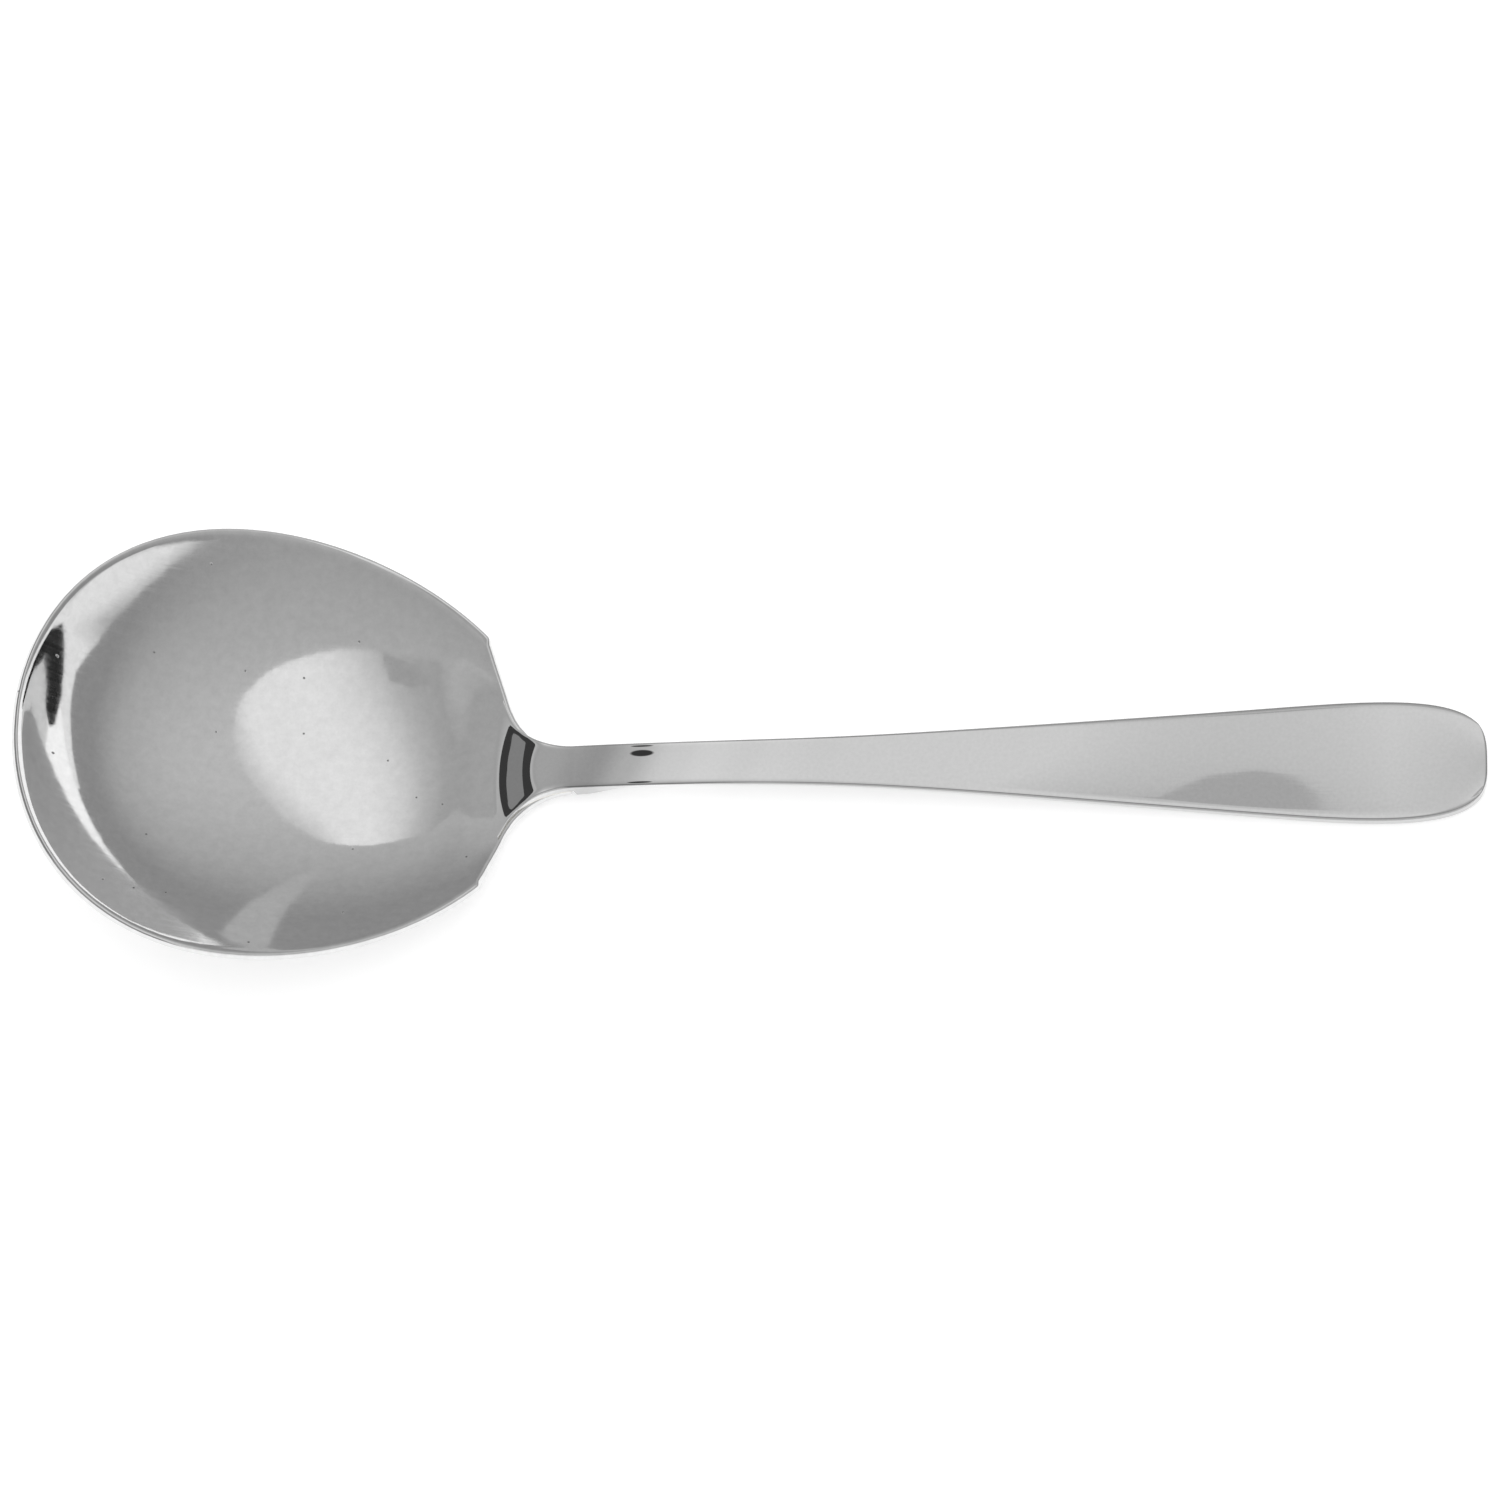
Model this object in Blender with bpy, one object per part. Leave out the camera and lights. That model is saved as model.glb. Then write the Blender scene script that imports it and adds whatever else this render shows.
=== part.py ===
"""Casserole spoon, in metres, +Z up, bowl tip towards -X and handle end towards +X.

The bowl is a sheet pressing whose back runs out into a short tang. The handle is a solid bar whose
flared tongue laps over that tang, and a thin layer of brazing alloy fills the lap. The spoon is
drawn as it lies on a table: on the small flat under the bowl and on the underside of the handle end.
"""

import math

import bmesh
import bpy
from mathutils import Vector

MM = 0.001

# Overall size
OVERALL_LENGTH = 220.0 * MM

# Bowl outline: an egg-shaped oval, cut at the shoulders, with a straight back edge to the neck
OVAL_LENGTH = 78.6 * MM
OVAL_WIDTH = 69.5 * MM
OVAL_TAPER = 0.14
OVAL_FULLNESS = 0.025
SHOULDER_WIDTH = 41.2 * MM
BACK_EDGE_ANGLE = math.radians(72.7)
NECK_FILLET = 10.9 * MM

# Bowl section: depth under the rim plane, which is pitched tip up
SHEET = 1.5 * MM
RIM_PITCH = math.radians(15.9)
BOWL_DEPTH = 13.6 * MM
DEPTH_LEAN = 0.36
END_WALL = 0.68
SIDE_WALL = -0.13
REST_FLAT = 0.2 * MM

# Lap joint: the tang under the tongue, and the braze between them
TANG_LENGTH = 12.3 * MM
TANG_SLOPE = math.radians(5.0)
SEAT_DROP = 0.3 * MM
SEAT_BLEND = 9.0 * MM
SEAT_FADE = 9.6 * MM
SEAT_MARGIN = 0.6 * MM
BRAZE_THICKNESS = 0.1 * MM
BRAZE_CLEARANCE = 0.1 * MM
BRAZE_INSET = 0.3 * MM

# Handle
TONGUE_REACH = 11.35 * MM
TONGUE_BULGE = 1.45 * MM
TONGUE_SPREAD = 0.74
TONGUE_THICKNESS = 1.65 * MM
HEEL_RUN = 6.9 * MM
HEEL_RAMP = 0.4
NOSE = 0.15 * MM
NECK_WIDTH = 6.65 * MM
END_THICKNESS = 2.0 * MM
FLARE_ANGLE = math.radians(4.75)
FLARE_FROM_END = 97.0 * MM
FLARE_SOFTNESS = 17.0 * MM
END_ROUNDING = 35.5 * MM
END_SQUARENESS = 3.3
END_LAST_TURN = math.radians(89.0)
REST_LENGTH = 14.0 * MM
DISH = 0.2 * MM
DISH_RUN = 30.0 * MM
EDGE_ROUND = 0.4 * MM
UNDERCUT = 1.0 * MM
UNDERCUT_RUN = 10.0 * MM

# Colours and polish
BOWL_COLOUR = (0.62, 0.62, 0.62)
HANDLE_COLOUR = (0.64, 0.64, 0.64)
BRAZE_COLOUR = (0.74, 0.72, 0.66)
BOWL_ROUGHNESS = 0.12
HANDLE_ROUGHNESS = 0.1
BRAZE_ROUGHNESS = 0.3

# Facets
OVAL_STEPS = 26
BACK_STEPS = 4
FILLET_STEPS = 7
TANG_STEPS = 3
TANG_END_STEPS = 2
BOWL_RINGS = 14
TONGUE_ROWS = 12
STEM_ROWS = 22
END_ROWS = 12
HANDLE_COLUMNS = 12
SHARP_ANGLE = math.radians(35.0)

# Fineness of the working
BISECTIONS = 50
CENTRE_SAMPLES = 400
SLOPE_STEP = 0.02 * MM
STEP_LEAN = 0.02 * MM
MERGE_DISTANCE = 0.001 * MM

# Sizes and places that follow from those above
TIP_X = -OVERALL_LENGTH / 2
END_X = OVERALL_LENGTH / 2
REST_X = END_X - REST_LENGTH
RIM_SLOPE = math.tan(RIM_PITCH)
JOINT_GAP = BRAZE_THICKNESS + 2 * BRAZE_CLEARANCE
NECK_THICKNESS = (SHEET + JOINT_GAP) / math.cos(TANG_SLOPE) + TONGUE_THICKNESS


def smooth_step(t):
    t = min(max(t, 0.0), 1.0)
    return t * t * (3 - 2 * t)


def oval_half_width(share):
    """Half width of the bowl's oval at a share of its length, from the tip."""
    lean = 2 * share - 1
    round_off = math.sqrt(max(1 - lean * lean, 0.0))
    return OVAL_WIDTH / 2 * round_off * (1 - OVAL_TAPER * lean + OVAL_FULLNESS * lean * lean)


def share_at_shoulder():
    """Share of the oval's length at which its back half narrows to the shoulders, by bisection."""
    wide, narrow = 0.5, 1.0
    for _ in range(BISECTIONS):
        middle = (wide + narrow) / 2
        if oval_half_width(middle) > SHOULDER_WIDTH / 2:
            wide = middle
        else:
            narrow = middle
    return wide


SHOULDER_SHARE = share_at_shoulder()
SHOULDER_X = TIP_X + SHOULDER_SHARE * OVAL_LENGTH


def neck_after_shoulder():
    """How far behind the shoulders the fillet's circle must sit to touch both back edge and stem."""
    drop = (SHOULDER_WIDTH - NECK_WIDTH) / 2 - NECK_FILLET
    return (NECK_FILLET + drop * math.cos(BACK_EDGE_ANGLE)) / math.sin(BACK_EDGE_ANGLE)


NECK_X = SHOULDER_X + neck_after_shoulder()
FILLET_X = NECK_X - NECK_FILLET * math.sin(BACK_EDGE_ANGLE)


def blade_half_width(x):
    """Half width of the stem and blade, without the fillet at the neck."""
    along = x - (END_X - FLARE_FROM_END)
    flare = math.tan(FLARE_ANGLE) * (along + math.hypot(along, FLARE_SOFTNESS)) / 2
    into_end = max(0.0, (x - (END_X - END_ROUNDING)) / END_ROUNDING)
    end = max(1 - into_end**END_SQUARENESS, 0.0) ** (1 / END_SQUARENESS)
    return (NECK_WIDTH / 2 + flare) * end


def half_width(x):
    """Half width of the neck and handle: the blade, plus the concave fillet, plus the back edge."""
    into_fillet = min(max(NECK_X - x, 0.0), NECK_X - FILLET_X)
    fillet = NECK_FILLET - math.sqrt(NECK_FILLET**2 - into_fillet**2)
    back_edge = max(FILLET_X - x, 0.0) * math.tan(BACK_EDGE_ANGLE)
    return blade_half_width(x) + fillet + back_edge


def tongue_half_width(x):
    """Half width of the tongue, which flares less than the neck of the bowl under it."""
    blade = blade_half_width(x)
    return blade + TONGUE_SPREAD * (half_width(x) - blade)


TONGUE_X = NECK_X - TONGUE_REACH
HEEL_X = TONGUE_X - TONGUE_BULGE
TANG_END_X = HEEL_X + TANG_LENGTH
STEP_X = TANG_END_X + JOINT_GAP
SEAT_HALF_WIDTH = tongue_half_width(TONGUE_X) + SEAT_MARGIN


def depth_on_centre(share):
    """Depth of the bowl under its rim plane along the middle, leaning towards the tip."""
    lean = 2 * share - 1
    scoop = 1 - (1 - END_WALL) * lean**2 - END_WALL * lean**4
    return BOWL_DEPTH * scoop * (1 - DEPTH_LEAN * lean)


def rim_line(x):
    """Height of the rim plane, before the bowl is set down on the table."""
    return RIM_SLOPE * (SHOULDER_X - x)


def lowest_on_centre():
    shares = [sample / CENTRE_SAMPLES for sample in range(CENTRE_SAMPLES + 1)]
    return min(rim_line(TIP_X + s * OVAL_LENGTH) - depth_on_centre(s) for s in shares)


SET_DOWN = -lowest_on_centre() - REST_FLAT


def pressed_height(x, y):
    """Underside of the pressed bowl, without the tang."""
    share = min(max((x - TIP_X) / OVAL_LENGTH, 0.0), 1.0)
    half = oval_half_width(share)
    across = min(abs(y) / half, 1.0) ** 2 if half else 0.0
    wall = 1 - (1 - SIDE_WALL) * across - SIDE_WALL * across * across
    return rim_line(x) + SET_DOWN - depth_on_centre(share) * wall


TANG_HEIGHT = pressed_height(HEEL_X, 0.0) - SEAT_DROP


def seat_curve(y):
    """How far the bowl's section at the heel has risen at a distance y from the middle."""
    return pressed_height(HEEL_X, y) - pressed_height(HEEL_X, 0.0)


def tang_height(x, y):
    """Underside of the tang, which carries the bowl's section at the heel straight back."""
    return TANG_HEIGHT + math.tan(TANG_SLOPE) * (x - HEEL_X) + seat_curve(y)


def bowl_height(x, y):
    """Underside of the whole bowl: the pressing, eased into the tang near the middle."""
    along = smooth_step((x - HEEL_X + SEAT_MARGIN + SEAT_BLEND) / SEAT_BLEND)
    aside = smooth_step((abs(y) - SEAT_HALF_WIDTH) / SEAT_FADE)
    tang = along * (1 - aside)
    return (1 - tang) * pressed_height(x, y) + tang * tang_height(x, y)


def bowl_normal(x, y):
    rise_x = bowl_height(x + SLOPE_STEP, y) - bowl_height(x - SLOPE_STEP, y)
    rise_y = bowl_height(x, y + SLOPE_STEP) - bowl_height(x, y - SLOPE_STEP)
    return Vector((-rise_x, -rise_y, 2 * SLOPE_STEP)).normalized()


def seat_height(x, y, clearance):
    """A face over the tang: its top, lifted square to it by the clearance."""
    rise_y = (seat_curve(y + SLOPE_STEP) - seat_curve(y - SLOPE_STEP)) / (2 * SLOPE_STEP)
    return tang_height(x, y) + (SHEET + clearance) * math.hypot(1, math.tan(TANG_SLOPE), rise_y)


def thickness(x):
    share = (x - STEP_X) / (END_X - STEP_X)
    return NECK_THICKNESS + (END_THICKNESS - NECK_THICKNESS) * max(share, 0.0)


def undercut(x):
    """How much narrower the underside is than the top on each side: most at the neck, none at the end."""
    left = (END_X - x) / (END_X - STEP_X)
    return UNDERCUT * left * smooth_step((x - STEP_X) / UNDERCUT_RUN)


def handle_underside(x):
    """Underside of the neck, stem and blade: a cubic from the tang down to the flat at the end."""
    if x >= REST_X:
        return 0.0
    run = REST_X - TANG_END_X
    t = (x - TANG_END_X) / run
    from_tang = tang_height(TANG_END_X, 0.0) * (2 * t**3 - 3 * t**2 + 1)
    return from_tang + run * math.tan(TANG_SLOPE) * (t**3 - 2 * t**2 + t)


def half_outline():
    """Plan points of the bowl's left side, from the tip to the middle of the tang's end."""
    points = []
    last_turn = math.acos(1 - 2 * SHOULDER_SHARE)
    for step in range(OVAL_STEPS + 1):
        share = (1 - math.cos(last_turn * step / OVAL_STEPS)) / 2
        points.append((TIP_X + share * OVAL_LENGTH, oval_half_width(share)))
    shoulder = Vector(points[-1])
    fillet = Vector((FILLET_X, half_width(FILLET_X)))
    for step in range(1, BACK_STEPS + 1):
        points.append(tuple(shoulder.lerp(fillet, step / BACK_STEPS)))
    for step in range(1, FILLET_STEPS + 1):
        x = NECK_X - NECK_FILLET * math.sin(BACK_EDGE_ANGLE * (1 - step / FILLET_STEPS))
        if x < TANG_END_X:
            points.append((x, half_width(x)))
    fillet_end = points[-1][0]
    for step in range(1, TANG_STEPS + 1):
        x = fillet_end + (TANG_END_X - fillet_end) * step / TANG_STEPS
        points.append((x, half_width(x)))
    for step in range(1, TANG_END_STEPS + 1):
        points.append((TANG_END_X, half_width(TANG_END_X) * (1 - step / TANG_END_STEPS)))
    return points


def metal(name, colour, roughness):
    material = bpy.data.materials.new(name)
    material.use_nodes = True
    shader = material.node_tree.nodes["Principled BSDF"]
    shader.inputs["Base Color"].default_value = (*colour, 1)
    shader.inputs["Metallic"].default_value = 1.0
    shader.inputs["Roughness"].default_value = roughness
    return material


def slab(name, sheet, place, material):
    """Closed solid from a flat sheet: each point of its lower and upper face goes where place says."""
    grown = bmesh.ops.extrude_face_region(sheet, geom=sheet.faces[:])
    upper = {item for item in grown["geom"] if isinstance(item, bmesh.types.BMVert)}
    for vert in sheet.verts:
        vert.co = place(vert.co.x, vert.co.y, vert in upper)
    bmesh.ops.remove_doubles(sheet, verts=sheet.verts, dist=MERGE_DISTANCE)
    bmesh.ops.recalc_face_normals(sheet, faces=sheet.faces)
    mesh = bpy.data.meshes.new(name)
    sheet.to_mesh(mesh)
    sheet.free()
    mesh.shade_smooth()
    mesh.set_sharp_from_angle(angle=SHARP_ANGLE)
    mesh.materials.append(material)
    solid = bpy.data.objects.new(name, mesh)
    bpy.context.collection.objects.link(solid)
    return solid


def make_bowl():
    left = half_outline()
    right = [(x, -y) for x, y in reversed(left[1:-1])]
    outline = [Vector((x, y)) for x, y in left + right]
    centre = Vector((TIP_X + OVAL_LENGTH / 2, 0.0))
    spokes = len(outline)
    disc = bmesh.new()
    bmesh.ops.create_circle(disc, cap_ends=True, cap_tris=True, segments=spokes, radius=1)
    to_hub = [edge for edge in disc.edges if not edge.is_boundary]
    bmesh.ops.subdivide_edges(disc, edges=to_hub, cuts=BOWL_RINGS - 1, use_grid_fill=True)

    def place(u, v, upper):
        spoke = round(math.atan2(v, u) / math.tau * spokes) % spokes
        x, y = centre.lerp(outline[spoke], min(math.hypot(u, v), 1.0))
        if upper:
            return Vector((x, y, bowl_height(x, y))) + SHEET * bowl_normal(x, y)
        return Vector((x, y, max(bowl_height(x, y), 0.0)))

    return slab("bowl", disc, place, metal("bowl_steel", BOWL_COLOUR, BOWL_ROUGHNESS))


def handle_rows():
    """X of each row of the handle at its edge: the tongue, a step at the tang's end, the stem, the end."""
    end_x = END_X - END_ROUNDING
    rows = [TONGUE_X + (STEP_X - TONGUE_X) * row / TONGUE_ROWS for row in range(TONGUE_ROWS + 1)]
    rows += [STEP_X + STEP_LEAN + (end_x - STEP_X) * row / STEM_ROWS for row in range(STEM_ROWS)]
    for row in range(END_ROWS + 1):
        turn = END_LAST_TURN * row / END_ROWS
        rows.append(end_x + END_ROUNDING * math.sin(turn) ** (2 / END_SQUARENESS))
    return rows


def tongue_spot(edge_x, v):
    """Plan point of the handle's row that meets the edge at edge_x, and how far it is behind the nose."""
    fade = 1 - smooth_step((edge_x - TONGUE_X) / (TANG_END_X - TONGUE_X))
    bulge = TONGUE_BULGE * (1 - v * v)
    x = edge_x - bulge * fade
    behind = edge_x - TONGUE_X + bulge * (1 - fade)
    return x, v * tongue_half_width(edge_x), behind


def heel_rise(t):
    """Rise of the tongue's step from 0 to 1: its slope ramps up, holds and ramps down."""
    t = min(max(t, 0.0), 1.0)
    steepest = 1 / (1 - HEEL_RAMP)
    if t < HEEL_RAMP:
        return steepest * t * t / (2 * HEEL_RAMP)
    if t > 1 - HEEL_RAMP:
        return 1 - steepest * (1 - t) ** 2 / (2 * HEEL_RAMP)
    return steepest * (t - HEEL_RAMP / 2)


def dish_rise(x, y, v):
    """How far the handle's dished top has risen across it: as the seat at the neck, then evenly."""
    along = smooth_step((x - STEP_X) / DISH_RUN)
    at_neck = seat_height(STEP_X, y, JOINT_GAP) - seat_height(STEP_X, 0.0, JOINT_GAP)
    return (1 - along) * at_neck + along * DISH * v * v


def make_handle():
    rows = handle_rows()
    last = len(rows) - 1
    grid = bmesh.new()
    bmesh.ops.create_grid(grid, x_segments=last, y_segments=HANDLE_COLUMNS, size=1)

    def place(u, v, upper):
        row = round((u + 1) / 2 * last)
        x, y, behind = tongue_spot(rows[row], v)
        lapped = row <= TONGUE_ROWS
        lower = seat_height(x, y, JOINT_GAP) if lapped else handle_underside(x)
        if not upper:
            return Vector((x, y - v * undercut(x), lower))
        if lapped:
            top = lower + NOSE + (TONGUE_THICKNESS - NOSE) * heel_rise(behind / HEEL_RUN)
        else:
            top = lower + thickness(x) + dish_rise(x, y, v)
        at_edge = round((v + 1) / 2 * HANDLE_COLUMNS) in (0, HANDLE_COLUMNS)
        drop = EDGE_ROUND * min((top - lower) / NECK_THICKNESS, 1.0) if at_edge else 0.0
        return Vector((x, y, top - drop))

    return slab("handle", grid, place, metal("handle_steel", HANDLE_COLOUR, HANDLE_ROUGHNESS))


def make_braze_layer():
    grid = bmesh.new()
    bmesh.ops.create_grid(grid, x_segments=TONGUE_ROWS, y_segments=HANDLE_COLUMNS, size=1)
    first_x = TONGUE_X + BRAZE_INSET
    last_x = TANG_END_X - BRAZE_INSET

    def place(u, v, upper):
        x, y, _ = tongue_spot(first_x + (last_x - first_x) * (u + 1) / 2, v)
        y -= v * BRAZE_INSET
        over_tang = BRAZE_CLEARANCE + (BRAZE_THICKNESS if upper else 0.0)
        return Vector((x, y, seat_height(x, y, over_tang)))

    return slab("braze_layer", grid, place, metal("braze_alloy", BRAZE_COLOUR, BRAZE_ROUGHNESS))


for old in list(bpy.data.objects):
    bpy.data.objects.remove(old)

spoon = bpy.data.objects.new("spoon", None)
bpy.context.collection.objects.link(spoon)
for piece in (make_bowl(), make_braze_layer(), make_handle()):
    piece.parent = spoon
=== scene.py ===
"""Casserole spoon: the finished surfaces, on a white table under soft studio light."""

import math

import bmesh
import bpy
from mathutils import Matrix, Vector


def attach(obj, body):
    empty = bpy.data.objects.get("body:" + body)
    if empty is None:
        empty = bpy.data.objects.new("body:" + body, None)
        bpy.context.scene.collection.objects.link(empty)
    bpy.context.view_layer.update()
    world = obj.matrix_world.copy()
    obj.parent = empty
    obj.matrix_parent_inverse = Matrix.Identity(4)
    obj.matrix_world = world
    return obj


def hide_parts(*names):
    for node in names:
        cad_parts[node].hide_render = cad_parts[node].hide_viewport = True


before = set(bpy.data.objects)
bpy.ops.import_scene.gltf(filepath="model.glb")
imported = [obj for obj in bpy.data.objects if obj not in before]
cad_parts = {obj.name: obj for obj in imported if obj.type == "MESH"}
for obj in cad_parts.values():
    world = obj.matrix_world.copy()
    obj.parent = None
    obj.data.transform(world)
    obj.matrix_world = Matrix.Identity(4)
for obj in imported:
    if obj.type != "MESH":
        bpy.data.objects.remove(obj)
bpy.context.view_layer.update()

# Bowl
# A wide scoop pressed from steel sheet and polished like a mirror, with a thin rounded rim. The rim lies
# in one plane, pitched tip up. The back is cut straight at the shoulders, and a short tang runs on from its
# middle, under the handle, where it is brazed.

MM = 0.001
TIP_X = -110.0 * MM
END_X = 110.0 * MM

OVAL_LENGTH = 78.6 * MM
OVAL_WIDTH = 69.5 * MM
OVAL_TAPER = 0.14
OVAL_FULLNESS = 0.025
SHOULDER_WIDTH = 41.2 * MM
BACK_EDGE_ANGLE = math.radians(72.7)
NECK_FILLET = 10.9 * MM
NECK_WIDTH = 6.65 * MM

SHEET = 1.5 * MM
RIM_SLOPE = math.tan(math.radians(15.9))
RIM_ROUND = 0.45 * MM
RIM_BAND = 0.55 * MM
BOWL_DEPTH = 13.6 * MM
DEPTH_LEAN = 0.36
END_WALL = 0.68
SIDE_WALL = -0.13
REST_FLAT = 0.2 * MM

TANG_LENGTH = 12.3 * MM
TANG_SLOPE = math.tan(math.radians(5.0))
SEAT_DROP = 0.3 * MM
SEAT_BLEND = 9.0 * MM
SEAT_FADE = 9.6 * MM
SEAT_MARGIN = 0.6 * MM
TONGUE_REACH = 11.35 * MM
TONGUE_BULGE = 1.45 * MM
TONGUE_SPREAD = 0.74

FLARE_FROM_END = 97.0 * MM
FLARE_SOFTNESS = 17.0 * MM
FLARE_SLOPE = math.tan(math.radians(4.75))
END_ROUNDING = 35.5 * MM
END_SQUARENESS = 3.3

OVAL_STEPS = 90
BACK_STEPS = 14
FILLET_STEPS = 18
TANG_END_STEPS = 4
BOWL_RINGS = 64
RIM_FACETS = 4
BISECTIONS = 50
CENTRE_SAMPLES = 400
SHARP_ANGLE = math.radians(40.0)
MERGE_DISTANCE = 0.001 * MM
SLOPE_STEP = 0.02 * MM


def ease(t):
    t = min(max(t, 0.0), 1.0)
    return t**3 * (10 - 15 * t + 6 * t * t)


def oval_half_width(share):
    lean = 2 * share - 1
    round_off = math.sqrt(max(1 - lean * lean, 0.0))
    return OVAL_WIDTH / 2 * round_off * (1 - OVAL_TAPER * lean + OVAL_FULLNESS * lean * lean)


def share_at_shoulder():
    wide, narrow = 0.5, 1.0
    for _ in range(BISECTIONS):
        middle = (wide + narrow) / 2
        if oval_half_width(middle) > SHOULDER_WIDTH / 2:
            wide = middle
        else:
            narrow = middle
    return wide


SHOULDER_SHARE = share_at_shoulder()
SHOULDER_X = TIP_X + SHOULDER_SHARE * OVAL_LENGTH
FILLET_DROP = (SHOULDER_WIDTH - NECK_WIDTH) / 2 - NECK_FILLET
NECK_X = SHOULDER_X + (NECK_FILLET + FILLET_DROP * math.cos(BACK_EDGE_ANGLE)) / math.sin(BACK_EDGE_ANGLE)
FILLET_X = NECK_X - NECK_FILLET * math.sin(BACK_EDGE_ANGLE)


def blade_half_width(x):
    along = x - (END_X - FLARE_FROM_END)
    flare = FLARE_SLOPE * (along + math.hypot(along, FLARE_SOFTNESS)) / 2
    into_end = max(0.0, (x - (END_X - END_ROUNDING)) / END_ROUNDING)
    end = max(1 - into_end**END_SQUARENESS, 0.0) ** (1 / END_SQUARENESS)
    return (NECK_WIDTH / 2 + flare) * end


def half_width(x):
    into_fillet = min(max(NECK_X - x, 0.0), NECK_X - FILLET_X)
    fillet = NECK_FILLET - math.sqrt(NECK_FILLET**2 - into_fillet**2)
    back_edge = max(FILLET_X - x, 0.0) * math.tan(BACK_EDGE_ANGLE)
    return blade_half_width(x) + fillet + back_edge


def tongue_half_width(x):
    blade = blade_half_width(x)
    return blade + TONGUE_SPREAD * (half_width(x) - blade)


TONGUE_X = NECK_X - TONGUE_REACH
HEEL_X = TONGUE_X - TONGUE_BULGE
TANG_END_X = HEEL_X + TANG_LENGTH
SEAT_HALF_WIDTH = tongue_half_width(TONGUE_X) + SEAT_MARGIN


def depth_on_centre(share):
    lean = 2 * share - 1
    scoop = 1 - (1 - END_WALL) * lean**2 - END_WALL * lean**4
    return BOWL_DEPTH * scoop * (1 - DEPTH_LEAN * lean)


def rim_line(x):
    return RIM_SLOPE * (SHOULDER_X - x)


centre_shares = [step / CENTRE_SAMPLES for step in range(CENTRE_SAMPLES + 1)]
LOWEST = min(rim_line(TIP_X + share * OVAL_LENGTH) - depth_on_centre(share) for share in centre_shares)
SET_DOWN = -REST_FLAT - LOWEST


def pressed_height(x, y):
    share = min(max((x - TIP_X) / OVAL_LENGTH, 0.0), 1.0)
    half = oval_half_width(share)
    across = min(abs(y) / half, 1.0) ** 2 if half else 0.0
    wall = 1 - (1 - SIDE_WALL) * across - SIDE_WALL * across * across
    return rim_line(x) + SET_DOWN - depth_on_centre(share) * wall


TANG_HEIGHT = pressed_height(HEEL_X, 0.0) - SEAT_DROP


def seat_curve(y):
    return pressed_height(HEEL_X, y) - pressed_height(HEEL_X, 0.0)


def tang_height(x, y):
    return TANG_HEIGHT + TANG_SLOPE * (x - HEEL_X) + seat_curve(y)


def bowl_height(x, y):
    along = ease((x - HEEL_X + SEAT_MARGIN + SEAT_BLEND) / SEAT_BLEND)
    aside = ease((abs(y) - SEAT_HALF_WIDTH) / SEAT_FADE)
    tang = along * (1 - aside)
    return (1 - tang) * pressed_height(x, y) + tang * tang_height(x, y)


def bowl_normal(x, y):
    rise_x = bowl_height(x + SLOPE_STEP, y) - bowl_height(x - SLOPE_STEP, y)
    rise_y = bowl_height(x, y + SLOPE_STEP) - bowl_height(x, y - SLOPE_STEP)
    return Vector((-rise_x, -rise_y, 2 * SLOPE_STEP)).normalized()


def bowl_half_outline():
    """Plan points of the bowl's left side, from the tip to the middle of the tang's end."""
    points = []
    last_turn = math.acos(1 - 2 * SHOULDER_SHARE)
    for step in range(OVAL_STEPS + 1):
        share = (1 - math.cos(last_turn * step / OVAL_STEPS)) / 2
        points.append((TIP_X + share * OVAL_LENGTH, oval_half_width(share)))
    shoulder = Vector(points[-1])
    fillet = Vector((FILLET_X, half_width(FILLET_X)))
    for step in range(1, BACK_STEPS + 1):
        points.append(tuple(shoulder.lerp(fillet, step / BACK_STEPS)))
    for step in range(1, FILLET_STEPS + 1):
        x = NECK_X - NECK_FILLET * math.sin(BACK_EDGE_ANGLE * (1 - step / FILLET_STEPS))
        if x < TANG_END_X - RIM_BAND:
            points.append((x, half_width(x)))
    for step in range(TANG_END_STEPS + 1):
        points.append((TANG_END_X, half_width(TANG_END_X) * (1 - step / TANG_END_STEPS)))
    return points


def slab(name, sheet, place, edge_round):
    """Closed solid from a flat sheet: each point of its lower and upper face goes where place says."""
    grown = bmesh.ops.extrude_face_region(sheet, geom=sheet.faces[:])
    upper = {item for item in grown["geom"] if isinstance(item, bmesh.types.BMVert)}
    for vert in sheet.verts:
        vert.co = place(vert.co.x, vert.co.y, vert in upper)
    bmesh.ops.remove_doubles(sheet, verts=sheet.verts, dist=MERGE_DISTANCE)
    bmesh.ops.recalc_face_normals(sheet, faces=sheet.faces)
    if edge_round:
        sharp = [edge for edge in sheet.edges if edge.calc_face_angle(0.0) > SHARP_ANGLE]
        bmesh.ops.bevel(
            sheet, geom=sharp, offset=edge_round, segments=RIM_FACETS,
            affect="EDGES", profile=0.5, material=-1,
        )
    mesh = bpy.data.meshes.new(name)
    sheet.to_mesh(mesh)
    sheet.free()
    mesh.shade_smooth()
    mesh.set_sharp_from_angle(angle=SHARP_ANGLE)
    piece = bpy.data.objects.new(name, mesh)
    bpy.context.collection.objects.link(piece)
    return piece


bowl_left = bowl_half_outline()
bowl_right = [(x, -y) for x, y in reversed(bowl_left[1:-1])]
bowl_outline = [Vector(point) for point in bowl_left + bowl_right]
bowl_centre = Vector((TIP_X + OVAL_LENGTH / 2, 0.0))


def inside_rim(spoke):
    """The outline's point moved in by the even band that the rim's rounding is cut from."""
    point = bowl_outline[spoke]
    before = (point - bowl_outline[spoke - 1]).normalized()
    after = (bowl_outline[(spoke + 1) % len(bowl_outline)] - point).normalized()
    inward = Vector((before.y + after.y, -before.x - after.x)).normalized()
    return point + inward * RIM_BAND / inward.dot(Vector((before.y, -before.x)))


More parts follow.
